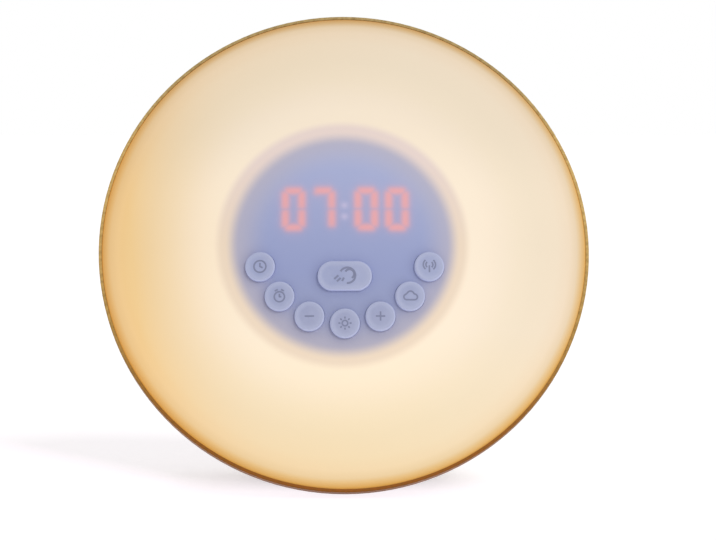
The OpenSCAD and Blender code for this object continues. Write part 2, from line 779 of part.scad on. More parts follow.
module backup_cells() color("#3f4a57") for (i = [-1:1]) {
    flip = i == 0 ? -1 : 1;
    end = flip * (bay_w / 2 - contact_t);
    translate([end, cell_y, bay_up + i * cell_pitch]) rotate([0, -90 * flip, 0]) {
        ring(nipple_r, 0, 0, nipple_l + 0.1);
        ring(cell_r, 0, nipple_l, cell_l);
    }
}

module battery_contacts() color("#c8c4b8") for (s = [-1, 1])
    translate([s * (bay_w - contact_t) / 2, cell_y, bay_up]) for (i = [-1:1])
        translate([-contact_t / 2, -4, i * cell_pitch - 4]) cube([contact_t, 8, 8]);

// A spring that narrows towards the cell it presses on, made as one turned wire
module battery_springs() color("#d0d0d0") for (i = [-1:1]) {
    flip = i == 0 ? -1 : 1;
    steps = 10 * spring_turns;
    reach = spring_l - 2 * spring_wire_r - 2 * touch;
    translate([flip * (contact_t + touch - bay_w / 2), cell_y, bay_up + i * cell_pitch]) tube([
        for (k = [0:steps]) let (a = 360 * k / 10, r = 3.4 - 1.3 * k / steps)
            [flip * (spring_wire_r + reach * k / steps), r * cos(a), r * sin(a)]
    ], spring_wire_r);
}

// Power socket and aerial

module power_socket() color("#161616") from_back(socket_side, socket_up) difference() {
    union() {
        ring(socket_bore_r + 1.2, 0, 0, wall);
        block([socket_side_l, socket_side_l], wall, wall + socket_depth + 2.6);
    }
    ring(socket_bore_r, 0, -1, socket_depth);
    ring(pin_r, 0, socket_depth - 1, socket_depth + 2);
}

module socket_pin() color("#d8d2c0") from_back(socket_side, socket_up) ring(pin_r, 0, 1.2, socket_depth + 2);

module aerial_bush() color("#2b2b2b") from_back(-socket_side, socket_up) difference() {
    union() {
        ring(bush_r - touch, 0, 0, wall + 1);
        ring(bush_r + bush_lip - touch, 0, 0, bush_lip_t);
        ring(bush_r + bush_lip / 2, 0, wall, wall + 1);
    }
    ring(bush_bore_r, 0, -2, wall + 3);
}

// Speaker, with z running in from the back

module in_speaker() from_back(0, speaker_up) children();
module speaker_ears() for (turn = [45:90:315]) rotate(turn) translate([speaker_ear_r, 0, 0]) children();

module speaker_gasket() color("#2a2a2a") in_speaker()
    ring(speaker_r - 0.5, surround_out_r + 0.4, wall, gasket_back);

module speaker_basket() color("#5b5d60") in_speaker() {
    mid_front = gasket_back + basket_t / 2;
    mid_back = basket_back - basket_t / 2;
    translate([0, 0, gasket_back]) linear_extrude(basket_t) difference() {
        union() {
            circle(speaker_r);
            speaker_ears() circle(speaker_boss_r);
        }
        circle(surround_out_r + touch);
        speaker_ears() circle(screw_r + slip);
    }
    ring(magnet_r, plate_in_r + 2, basket_back - basket_t, basket_back);
    for (turn = [30:60:330]) rotate(turn) rotate([90, 0, 0]) linear_extrude(8, center = true) polygon([
        [basket_in_r + 0.9, mid_front], [magnet_r - 1.5, mid_back], [magnet_r - 2.5, mid_back],
        [basket_in_r, mid_front]
    ]);
}

module speaker_screws() color("#b8b8b8") in_speaker() speaker_ears()
    translate([0, 0, gasket_back + basket_t]) mirror([0, 0, 1]) screw(screw_r, basket_t + 2, head_r, 1.2);

module speaker_magnet() color("#3c3c3f") in_speaker()
    ring(magnet_r, plate_in_r + 1.5, magnet_front, magnet_back);

module speaker_yoke() color("#a8a9ab") in_speaker() {
    ring(magnet_r - 0.6, plate_in_r, basket_back, magnet_front);
    ring(magnet_r - 0.6, 0, magnet_back, magnet_back + yoke_t);
    ring(pole_r, 0, basket_back, magnet_back + yoke_t / 2);
}

module voice_coil() color("#b5713c") in_speaker() ring(coil_r + coil_wall / 2, coil_r - coil_wall / 2,
    coil_front, magnet_front + cone_travel + 0.2);

module speaker_cone() color("#33322f") in_speaker() rotate_extrude() polygon([
    [coil_r + coil_wall / 2, coil_front + 0.4], [cone_r - 0.2, cone_front],
    [cone_r - 0.2, cone_front + cone_t], [coil_r + coil_wall / 2, coil_front + 0.4 + cone_t]
]);

module dust_cap() color("#262522") in_speaker() translate([0, 0, coil_front]) intersection() {
    difference() {
        translate([0, 0, 9]) sphere(sqrt(pow(coil_r + 0.1, 2) + 81));
        translate([0, 0, 9]) sphere(sqrt(pow(coil_r + 0.1, 2) + 81) - 0.4);
    }
    ring(coil_r, 0, -big, -touch);
}

module speaker_surround() color("#1d1d1d") in_speaker() rotate_extrude()
    translate([(surround_out_r + cone_r) / 2, cone_front + cone_t]) intersection() {
        difference() {
            circle(surround_r - touch);
            circle(surround_r - 0.5);
        }
        translate([-big / 2, -big]) square([big, big]);
    }

// Wires

module ribbon_cable() color("#b9b9bd") on_face() rotate([90, 0, 90]) linear_extrude(16, center = true)
    let (steps = 12, top = ledge_z, low = main_z, half_t = 0.3)
        polygon([for (side = [-1, 1], j = [0:steps]) let (i = side < 0 ? j : steps - j)
            [-14 - 5 * sin(180 * i / steps) + side * half_t, top + (low - top) * i / steps]]);

module lamp_wires() color("#c83a32") for (s = [-1, 1]) wire([for (p = [
    [48.4, s * 0.9, floor_z + lamp_t + wire_r + touch], [45.8, s * 0.9, floor_z + 2.4],
    [43.6, s * 0.9, floor_z], [42, s * 0.9, floor_back_z - 3],
    [lamp_plug_at[0] + 1, s * 0.9, main_z + plug_h + 2.5], [lamp_plug_at[0], s * 0.9, main_z + plug_h + touch]
]) face_point(p)], wire_r);

module speaker_wires() color("#3a3a3c") for (s = [-1, 1]) wire([
    for (out = [wire_gap, 1.2, 2.6]) face_point([speaker_plug_at[0], speaker_plug_at[1] + s, plug_z - out]),
    face_point([speaker_plug_at[0] - 2, speaker_plug_at[1] + s, plug_z - 4.3]),
    face_point([speaker_plug_at[0] - 7, speaker_plug_at[1] + s, plug_z - 5]),
    [-21, rear_y - magnet_back, speaker_up + s], [-23.6, rear_y - basket_back, speaker_up + s],
    [-23.6, rear_y - gasket_back - basket_t - touch, speaker_up + s]
], wire_r);

module battery_wires() color("#c83a32") for (s = [-1, 1]) wire([
    for (out = [wire_gap, 1.2, 4]) face_point([battery_plug_at[0] + s, battery_plug_at[1], plug_z - out]),
    [-22.5 + s, bay_front_y - 11, bay_up + 4], [-23 + s, bay_front_y - 4, bay_up + 0.5],
    [-23 + s, bay_front_y - wire_gap, bay_up]
], wire_r);

module power_wires() color("#c83a32") for (s = [-1, 1]) wire([
    for (out = [wire_gap, 1.2, 4]) face_point([power_plug_at[0] + s, power_plug_at[1], plug_z - out]),
    [power_plug_at[0] + 1.5 + s, face_y + 43.5, socket_up + 38],
    [socket_side + 1 + s, face_y + 46, socket_up + 27], [socket_side + 1 + s, face_y + 46, socket_up + 14],
    [socket_side + 0.3 + s, socket_end_y - 5, socket_up + 3.5],
    [socket_side + s, socket_end_y - 2.2, socket_up + 0.4],
    [socket_side + s, socket_end_y - wire_gap, socket_up]
], wire_r);

front_diffuser();
edge_ring();
rear_housing();
battery_door();
rubber_feet();
housing_screws();
clock_key();
alarm_key();
minus_key();
light_key();
plus_key();
sound_key();
radio_key();
snooze_key();
clock_plunger();
alarm_plunger();
minus_plunger();
light_plunger();
plus_plunger();
sound_plunger();
radio_plunger();
snooze_plunger();
switch_bodies();
display_board();
digit_module();
digit_segments();
light_shield();
display_screws();
shield_screws();
reflector_bowl();
lamp_board();
lamp_chips();
main_board();
main_screws();
control_chips();
capacitors();
inductor();
crystal();
connectors();
speaker_basket();
speaker_magnet();
speaker_yoke();
voice_coil();
speaker_cone();
speaker_surround();
dust_cap();
speaker_gasket();
speaker_screws();
power_socket();
socket_pin();
aerial_bush();
backup_cells();
battery_contacts();
battery_springs();
ribbon_cable();
lamp_wires();
speaker_wires();
battery_wires();
power_wires();
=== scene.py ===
"""A round sunrise alarm clock: the looks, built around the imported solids.

Shapes are worked out in millimetres in the clock's own frame. What sits on the leaning face uses the face's
frame: across, up the slope and out of it. Every mesh is stored in metres."""

import math

import bpy
import numpy as np
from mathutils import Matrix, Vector
from mathutils.geometry import delaunay_2d_cdt


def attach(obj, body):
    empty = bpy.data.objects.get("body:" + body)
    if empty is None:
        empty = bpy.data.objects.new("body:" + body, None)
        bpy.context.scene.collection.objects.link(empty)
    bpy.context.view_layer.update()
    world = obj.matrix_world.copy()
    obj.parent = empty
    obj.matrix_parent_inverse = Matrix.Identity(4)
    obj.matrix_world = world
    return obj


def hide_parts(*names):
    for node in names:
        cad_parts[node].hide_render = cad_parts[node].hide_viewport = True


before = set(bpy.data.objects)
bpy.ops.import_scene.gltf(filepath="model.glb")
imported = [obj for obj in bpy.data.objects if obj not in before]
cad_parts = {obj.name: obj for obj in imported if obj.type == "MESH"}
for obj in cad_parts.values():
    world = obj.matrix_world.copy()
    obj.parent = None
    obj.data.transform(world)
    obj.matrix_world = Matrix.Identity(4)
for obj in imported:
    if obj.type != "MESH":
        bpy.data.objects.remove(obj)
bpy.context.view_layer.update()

MM = 0.001
TAU = 2 * math.pi

# ---------------------------------------------------------------- sizes, in millimetres

LEAN = math.radians(17)
FACE_Y, FACE_Z = -20.8207, 83.9232
SKIRT_R = 83.8
DOME_RISE = 10.0
DOME_R = (SKIRT_R**2 + DOME_RISE**2) / (2 * DOME_RISE)
DOME_Z = DOME_RISE - DOME_R
COVER_T = 2.4
SHOULDER_R = 3.0
SKIRT_H = 5.0
TONGUE_OUT, TONGUE_IN, TONGUE_L = 80.6, 79.4, 4.2

KEY_R = 5.15
HOLE_R = 5.27
ARC_R, ARC_UP, KEY_PITCH = 31.0, 2.5, math.radians(23)
SNOOZE_AT, SNOOZE_STRAIGHT = (0.0, -12.1), 8.4
KEY_PROUD, KEY_DISH = 1.2, 0.25
DISH_R = ((KEY_R - 0.6) ** 2 + KEY_DISH**2) / (2 * KEY_DISH)
ARC_KEYS = ["clock", "alarm", "minus", "light", "plus", "sound", "radio"]
KEY_AT = {
    name: (ARC_R * math.sin((i - 3) * KEY_PITCH), ARC_UP - ARC_R * math.cos((i - 3) * KEY_PITCH))
    for i, name in enumerate(ARC_KEYS)
}
KEY_AT["snooze"] = SNOOZE_AT

DIGIT_X = [-17.5, -7.2, 7.5, 18.1]
DIGIT_UP, DIGIT_W, DIGIT_H, BAR_W = 11.75, 7.8, 15.3, 2.1
DOT_DOWN, DOT_APART, DOT_R = 0.75, 4.0, 1.25
# How far the milky wall blurs a bar's core and its halo
CORE_BLUR, HALO_BLUR = 0.95, 2.4
# Width of the painted shadow on the wall beside a key
SHADE_W = 2.4

# The cover's light: how far out its colours reach, and how uneven that is
GLOW_REACH, GLOW_UNEVEN = 85.6, 1.2
# Middle of the dimmer ring and the radii over which it comes in, and the same for the lit part
RING_AT, RING_R = (-0.7, -0.3), (44.8, 41.2)
LIT_AT, LIT_R = (-0.6, -0.5), (35.6, 40.7)

# The cover's mesh: radius of its middle, points around it and on a key hole, and the steps of three grids
MIDDLE_R, AROUND, HOLE_POINTS = 44.0, 288, 72
COARSE_STEP, BESIDE_STEP, FINE_STEP = 1.5, 0.6, 0.3
# Half the width of the fine grid, its lower and upper edge
FINE_HALF, FINE_LOW, FINE_HIGH = 25, 1.5, 23.01

# Ink: how far it stands over a key and reaches into it, and the width of its lines
INK_OVER, INK_UNDER = 0.04, 0.08
INK_W, SNOOZE_INK_W = 0.55, 0.7

FLOOR_HALF = 9000
# Width of the rendered frame in pixels, and what one pixel shows at the clock
FRAME_W, PIXEL = 716, 0.3462
CAMERA_AIM = (4.78, FACE_Y, 76.6)
CAMERA_AWAY, CAMERA_RISE, CAMERA_RIGHT = 1100, math.radians(3.2), math.radians(-1.1)

# Shares, without a unit: how much of a lit place's colour is its own light, how bright a bar's core, its
# halo and the dots show, and how dark the painted shadow on the wall beside a key gets
OWN_LIGHT = 0.55
CORE_SHARE, HALO_SHARE, DOT_SHARE, SHADE_SHARE = 0.84, 0.24, 0.6, 0.24


# ---------------------------------------------------------------- places


def face_to_clock(u, v, w):
    """A point of the face's frame in the clock's, from the face's centre: u across, v up the slope and w
    out of it. Its y is FACE_Y + v sin(lean) - w cos(lean), and its z is FACE_Z + v cos(lean) + w
    sin(lean)."""
    u, v, w = np.broadcast_arrays(*(np.asarray(a, float) for a in (u, v, w)))
    s, c = math.sin(LEAN), math.cos(LEAN)
    return np.stack([u, FACE_Y + v * s - w * c, FACE_Z + v * c + w * s], axis=-1)


def key_to_clock(at, x, y, z):
    """A point near the key at that place: z runs along the dome's normal from the dome, x and y across it.
    The point is turned about the dome's centre by the key's own direction and slope, and then taken from
    the face's frame."""
    turn, slope = math.atan2(at[1], at[0]), math.asin(math.hypot(*at) / DOME_R)
    x, y, z = np.broadcast_arrays(*(np.asarray(a, float) for a in (x, y, z)))
    x1, y1 = x * math.cos(turn) + y * math.sin(turn), y * math.cos(turn) - x * math.sin(turn)
    x2 = x1 * math.cos(slope) + (z + DOME_R) * math.sin(slope)
    z2 = (z + DOME_R) * math.cos(slope) - x1 * math.sin(slope)
    u, v = x2 * math.cos(turn) - y1 * math.sin(turn), x2 * math.sin(turn) + y1 * math.cos(turn)
    return face_to_clock(u, v, z2 + DOME_Z)


# ---------------------------------------------------------------- meshes


def piece(name, points, faces, material, body, smooth_to=35):
    """An object from points in millimetres and a list of face arrays, with edges over smooth_to degrees
    left sharp."""
    mesh = bpy.data.meshes.new(name)
    rows = [row for group in faces for row in np.asarray(group).tolist()]
    mesh.from_pydata((np.asarray(points, float) * MM).tolist(), [], rows)
    mesh.validate()
    mesh.polygons.foreach_set("use_smooth", np.ones(len(mesh.polygons), bool))
    mesh.set_sharp_from_angle(angle=math.radians(smooth_to))
    mesh.materials.append(material)
    made = bpy.data.objects.new(name, mesh)
    bpy.context.scene.collection.objects.link(made)
    if body:
        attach(made, body)
    return made


def strip(rows, cols, first=0, close_rows=False, close_cols=False):
    """Four-sided faces of a grid of points that are numbered row by row from first."""
    r = np.arange(rows if close_rows else rows - 1)
    c = np.arange(cols if close_cols else cols - 1)
    r, c = np.meshgrid(r, c, indexing="ij")
    r2, c2 = (r + 1) % rows, (c + 1) % cols
    quad = np.stack([r * cols + c, r * cols + c2, r2 * cols + c2, r2 * cols + c], axis=-1)
    return first + quad.reshape(-1, 4)


# ---------------------------------------------------------------- materials


def linear(code):
    """An sRGB hex colour as linear red, green, blue and 1."""
    parts = [int(code[i : i + 2], 16) / 255 for i in (1, 3, 5)]
    return tuple(p / 12.92 if p <= 0.04045 else ((p + 0.055) / 1.055) ** 2.4 for p in parts) + (1.0,)


def new_material(name):
    """An empty node material, its tree and its Principled shader."""
    made = bpy.data.materials.new(name)
    made.use_nodes = True
    return made, made.node_tree, made.node_tree.nodes["Principled BSDF"]


def add(tree, kind, links=(), values=(), **settings):
    """A node with its settings, its socket values and its links from other sockets."""
    node = tree.nodes.new("ShaderNode" + kind)
    for key, value in settings.items():
        setattr(node, key, value)
    for key, value in dict(values).items():
        node.inputs[key].default_value = value
    for key, source in dict(links).items():
        tree.links.new(source, node.inputs[key])
    return node


def stops(ramp, *pairs):
    """Sets a colour ramp's stops from pairs of a place and a hex colour."""
    band = ramp.color_ramp
    while len(band.elements) < len(pairs):
        band.elements.new(0.5)
    for stop, (at, colour) in zip(band.elements, pairs):
        stop.position = at
        stop.color = linear(colour)
    return ramp


def face_axes(tree):
    """Sockets of the face's own coordinates, and of u and v among them, in metres, from the object's."""
    spot = add(tree, "TexCoord").outputs["Object"]
    turned = add(tree, "Mapping", {"Vector": spot}, vector_type="TEXTURE")
    turned.inputs["Location"].default_value = (0, FACE_Y * MM, FACE_Z * MM)
    turned.inputs["Rotation"].default_value = (math.pi / 2 - LEAN, 0, 0)
    parts = add(tree, "SeparateXYZ", {"Vector": turned.outputs[0]})
    return turned.outputs[0], parts.outputs[0], parts.outputs[1]


def opal_cover():
    """Opal acrylic, moulded and lit from behind. It gives a cream glow that is brightest beside the dark
    middle and amber towards the left edge, a dimmer ring where the light shield's rim stands, a blue-grey
    unlit middle with painted light at its edge and painted shadows beside the keys, and the display's bars
    blurred by the milky wall."""
    made, tree, shader = new_material("opal_acrylic_lit_from_behind")
    vector, _, v = face_axes(tree)
    # Distances on the face from its centre, from the ring's and from the lit part's, the first made uneven
    flat = add(tree, "VectorMath", {0: vector}, {1: (1, 1, 0)}, operation="MULTIPLY").outputs[0]
    away, from_ring, from_lit = (
        add(tree, "VectorMath", {0: flat}, {1: (x * MM, y * MM, 0)}, operation="DISTANCE").outputs["Value"]
        for x, y in ((0, 0), RING_AT, LIT_AT)
    )
    wave = add(tree, "TexNoise", {"Vector": flat}, {"Scale": 22, "Detail": 1.0}).outputs["Fac"]
    uneven = add(
        tree, "Math", {0: wave, 2: away}, {1: GLOW_UNEVEN * MM}, operation="MULTIPLY_ADD"
    ).outputs[0]
    reach = add(tree, "Math", {0: uneven}, {1: GLOW_REACH * MM}, operation="DIVIDE").outputs[0]
    glow = stops(
        add(tree, "ValToRGB", {"Fac": reach}),
        (0.512, "#ffeed6"), (0.57, "#feedd5"), (0.63, "#fbead2"), (0.71, "#f7e6cc"), (0.79, "#f4e3c9"),
        (0.87, "#f4e2c8"), (0.92, "#f3dec2"), (0.95, "#ecd4b2"), (0.965, "#e7c592"), (0.985, "#e0ad5c"),
    ).outputs[0]
    # Warmer light towards the left edge and, less, all along the left rim. The way is the face's left,
    # turned a little downwards.
    aside = add(
        tree, "VectorMath", {0: flat}, {1: (-0.995, -0.1, 0)}, operation="DOT_PRODUCT"
    ).outputs["Value"]
    left = add(tree, "MapRange", {"Value": aside}, {1: 0.026, 2: 0.073}).outputs[0]
    left = add(tree, "Math", {0: left}, {1: 2.0}, operation="POWER").outputs[0]
    outer = add(tree, "MapRange", {"Value": away}, {1: 0.050, 2: 0.078, 4: 0.2}).outputs[0]
    beside = add(tree, "MapRange", {"Value": aside}, {1: -0.03, 2: 0.03}).outputs[0]
    rim = add(tree, "Math", {0: outer, 1: beside}, operation="MULTIPLY").outputs[0]
    amber = add(
        tree, "Math", {0: left, 2: rim}, {1: 0.75}, operation="MULTIPLY_ADD", use_clamp=True
    ).outputs[0]
    fade = add(tree, "MapRange", {"Value": away}, {1: 0.0765, 2: 0.083, 3: 1.0, 4: 0.75}).outputs[0]
    amber = add(tree, "Math", {0: amber, 1: fade}, operation="MULTIPLY").outputs[0]
    # A little yellower at the bottom and dimmer at the top, with a shoulder that is duller along its top
    low = add(tree, "MapRange", {"Value": v}, {1: -0.03, 2: -0.075}).outputs[0]
    high, crown = (
        add(tree, "MapRange", {"Value": v}, {1: start, 2: end}, interpolation_type="SMOOTHSTEP").outputs[0]
        for start, end in ((0.015, 0.045), (0.03, 0.078))
    )
    turned = add(tree, "MapRange", {"Value": reach}, {1: 0.945, 2: 0.985}).outputs[0]
    crown = add(tree, "Math", {0: crown, 1: turned}, operation="MULTIPLY").outputs[0]
    warm = glow
    for part, code in ((amber, "#ffe8b5"), (low, "#fffbeb"), (high, "#f9f9f9"), (crown, "#e6dac6")):
        warm = add(
            tree, "Mix", {0: part, 6: warm}, {7: linear(code)}, data_type="RGBA", blend_type="MULTIPLY"
        ).outputs[2]
    # The dimmer ring outside the unlit middle, and where the lit part begins
    past, lit = (
        add(
            tree, "MapRange", {"Value": far}, {1: start * MM, 2: end * MM}, interpolation_type="SMOOTHSTEP"
        ).outputs[0]
        for far, (start, end) in ((from_ring, RING_R), (from_lit, LIT_R))
    )
    upper = add(tree, "MapRange", {"Value": v}, {1: 0.0, 2: 0.03}).outputs[0]
    ring = add(
        tree, "Mix", {0: upper}, {6: linear("#efdac2"), 7: linear("#e9d6ce")}, data_type="RGBA"
    ).outputs[2]
    ringed = add(tree, "Mix", {0: past, 6: warm, 7: ring}, data_type="RGBA").outputs[2]
    # The unlit middle, paler at its top, paler and rosier towards its edge with painted light spilling in
    # from the lit ring, and darker beside the keys with a painted shadow
    rise = add(tree, "MapRange", {"Value": v}, {1: -0.028, 2: 0.034}).outputs[0]
    panel = stops(
        add(tree, "ValToRGB", {"Fac": rise}),
        (0.0, "#9ca3c6"), (0.3, "#9ba4cf"), (0.62, "#a4add6"), (1.0, "#b1b8dd"),
    ).outputs[0]
    near = add(
        tree, "MapRange", {"Value": away}, {1: 0.025, 2: 0.039, 4: 0.85}, interpolation_type="SMOOTHSTEP"
    ).outputs[0]
    shade, bars, dots = (
        add(tree, "Attribute", attribute_name=field).outputs["Fac"]
        for field in ("key_shade", "bar_glow", "dot_glow")
    )
    # Painted light from the lit ring pales the middle's edge, and a painted shadow darkens the wall beside
    # each key
    for part, code in ((near, "#c0bac9"), (shade, "#6c7096")):
        panel = add(tree, "Mix", {0: part, 6: panel}, {7: linear(code)}, data_type="RGBA").outputs[2]
    shown = add(tree, "Mix", {0: lit, 6: panel, 7: ringed}, data_type="RGBA").outputs[2]
    # Bars and dots of the display
    for part, code in ((bars, "#f2a8a6"), (dots, "#cfc4e2")):
        shown = add(tree, "Mix", {0: part, 6: shown}, {7: linear(code)}, data_type="RGBA").outputs[2]
    # What isn't a place's own light is left to the lamps
    share = add(tree, "Math", {0: lit}, {1: OWN_LIGHT}, operation="MULTIPLY").outputs[0]
    shine = add(tree, "Math", {0: bars, 1: dots}, operation="MAXIMUM").outputs[0]
    lamp = add(tree, "Math", {0: shine, 2: share}, {1: OWN_LIGHT}, operation="MULTIPLY_ADD").outputs[0]
    rest = add(tree, "Math", {1: lamp}, {0: 1.0}, operation="SUBTRACT").outputs[0]
    body = add(tree, "VectorMath", {0: shown, "Scale": rest}, operation="SCALE").outputs[0]
    # The lower half, which leans towards the lamp's ring, shines a little more
    more = add(tree, "MapRange", {"Value": v}, {1: 0.0, 2: -0.045, 3: 1.0, 4: 1.1}).outputs[0]
    lamp = add(tree, "Math", {0: lamp, 1: more}, operation="MULTIPLY").outputs[0]
    light = add(tree, "VectorMath", {0: shown, "Scale": lamp}, operation="SCALE").outputs[0]
    # A satin surface: 0.4 mm grain, drawn coarser than the real one so that it shows
    grain = add(tree, "TexNoise", {"Vector": vector}, {"Scale": 2500, "Detail": 2.0})
    bump = add(tree, "Bump", {"Height": grain.outputs["Fac"]}, {"Strength": 0.05, "Distance": 0.0002})
    tree.links.new(body, shader.inputs["Base Color"])
    tree.links.new(light, shader.inputs["Emission Color"])
    tree.links.new(bump.outputs[0], shader.inputs["Normal"])
    shader.inputs["Emission Strength"].default_value = 1.0
    shader.inputs["Roughness"].default_value = 0.55
    shader.inputs["IOR"].default_value = 1.49
    shader.inputs["Specular IOR Level"].default_value = 0.35
    return made


def moulded(name, colour, shade, roughness, grain=0.6, height=0.02):
    """Moulded plastic or rubber: two close shades in soft clouds, a fine eroded texture and uneven gloss.
    grain is the texture's size and height its depth, in millimetres."""
    made, tree, shader = new_material(name)
    spot = add(tree, "TexCoord").outputs["Object"]
    cloud = add(tree, "TexNoise", {"Vector": spot}, {"Scale": 45, "Detail": 3.0})
    mixed = add(
        tree, "Mix", {0: cloud.outputs["Fac"]}, {6: linear(colour), 7: linear(shade)}, data_type="RGBA"
    )
    pits = add(tree, "TexNoise", {"Vector": spot}, {"Scale": 1000 / grain, "Detail": 2.0})
    dull = add(tree, "MapRange", {"Value": pits.outputs["Fac"]}, {3: roughness - 0.07, 4: roughness + 0.07})
    bump = add(tree, "Bump", {"Height": pits.outputs["Fac"]}, {"Strength": 0.5, "Distance": height * MM})
    tree.links.new(mixed.outputs[2], shader.inputs["Base Color"])
    tree.links.new(dull.outputs[0], shader.inputs["Roughness"])
    tree.links.new(bump.outputs[0], shader.inputs["Normal"])
    shader.inputs["IOR"].default_value = 1.53
    return made


def metal(name, colour, roughness):
    """Plated or bare metal: a sharp sheen broken by fine drawn lines, 1.5 mm long and about 0.1 mm apart."""
    made, tree, shader = new_material(name)
    spot = add(tree, "TexCoord").outputs["Object"]
    drawn = add(tree, "Mapping", {"Vector": spot}, {"Scale": (1, 1, 14)})
    lines = add(tree, "TexNoise", {"Vector": drawn.outputs[0]}, {"Scale": 1000 / 1.5, "Detail": 3.0})
    dull = add(tree, "MapRange", {"Value": lines.outputs["Fac"]}, {3: roughness - 0.08, 4: roughness + 0.1})
    tone = add(
        tree, "Mix", {0: lines.outputs["Fac"]}, {6: linear(colour), 7: linear("#8f8f8f")}, data_type="RGBA"
    )
    soft = add(tree, "Mix", {7: tone.outputs[2]}, {0: 0.35, 6: linear(colour)}, data_type="RGBA")
    tree.links.new(soft.outputs[2], shader.inputs["Base Color"])
    tree.links.new(dull.outputs[0], shader.inputs["Roughness"])
    shader.inputs["Metallic"].default_value = 1.0
    return made


def board(name, colour, track):
    """Glass-fibre circuit board under solder mask: darker gaps and paler tracks on a 2.5 mm grid, with a
    gloss."""
    made, tree, shader = new_material(name)
    spot = add(tree, "TexCoord").outputs["Object"]
    cells = add(
        tree, "TexVoronoi", {"Vector": spot}, {"Scale": 400, "Randomness": 0.7}, distance="CHEBYCHEV"
    )
    lines = add(tree, "MapRange", {"Value": cells.outputs["Distance"]}, {1: 0.38, 2: 0.46})
    tone = add(tree, "Mix", {0: lines.outputs[0]}, {6: linear(colour), 7: linear(track)}, data_type="RGBA")
    bump = add(tree, "Bump", {"Height": lines.outputs[0]}, {"Strength": 0.4, "Distance": 0.00004})
    tree.links.new(tone.outputs[2], shader.inputs["Base Color"])
    tree.links.new(bump.outputs[0], shader.inputs["Normal"])
    shader.inputs["Roughness"].default_value = 0.32
    return made


def amber_rim():
    """Thin gold-lacquered trim. It gives brown below, which is painted shade, and olive gold above and honey
    at the upper sides, which are painted light standing for light through its edge, under a speckled,
    rubbed lacquer."""
    made, tree, shader = new_material("gold_lacquered_trim")
    vector, u, v = face_axes(tree)
    side = add(tree, "Math", {0: u}, operation="ABSOLUTE").outputs[0]
    lift, wide = (
        add(tree, "MapRange", {"Value": way}, {1: start, 2: end}, interpolation_type="SMOOTHSTEP").outputs[0]
        for way, start, end in ((v, -0.085, 0.06), (side, 0.055, 0.085))
    )
    # Painted shade and light: brown at the bottom stands for shade under the trim, olive gold higher up for
    # light through its edge
    tone = stops(
        add(tree, "ValToRGB", {"Fac": lift}), (0.0, "#95560f"), (0.35, "#ae8338"), (1.0, "#bda36b")
    ).outputs[0]
    both = add(tree, "Math", {0: wide, 1: lift}, operation="MULTIPLY").outputs[0]
    # Specks about 1.5 mm long in the lacquer
    specks = add(tree, "TexNoise", {"Vector": vector}, {"Scale": 650, "Detail": 3.0}).outputs["Fac"]
    wear_and_painted_sheen = add(tree, "MapRange", {"Value": specks}, {1: 0.38, 2: 0.72, 4: 0.5}).outputs[0]
    # Honey on the upper sides is painted light through the edge; the darker specks are the lacquer's own
    # wear
    for part, code in ((both, "#e0bd74"), (wear_and_painted_sheen, "#70500f")):
        tone = add(tree, "Mix", {0: part, 6: tone}, {7: linear(code)}, data_type="RGBA").outputs[2]
    bump = add(tree, "Bump", {"Height": specks}, {"Strength": 0.4, "Distance": 0.00008})
    tree.links.new(tone, shader.inputs["Base Color"])
    tree.links.new(bump.outputs[0], shader.inputs["Normal"])
    shader.inputs["Roughness"].default_value = 0.45
    shader.inputs["IOR"].default_value = 1.5
    shader.inputs["Specular IOR Level"].default_value = 0.25
    return made


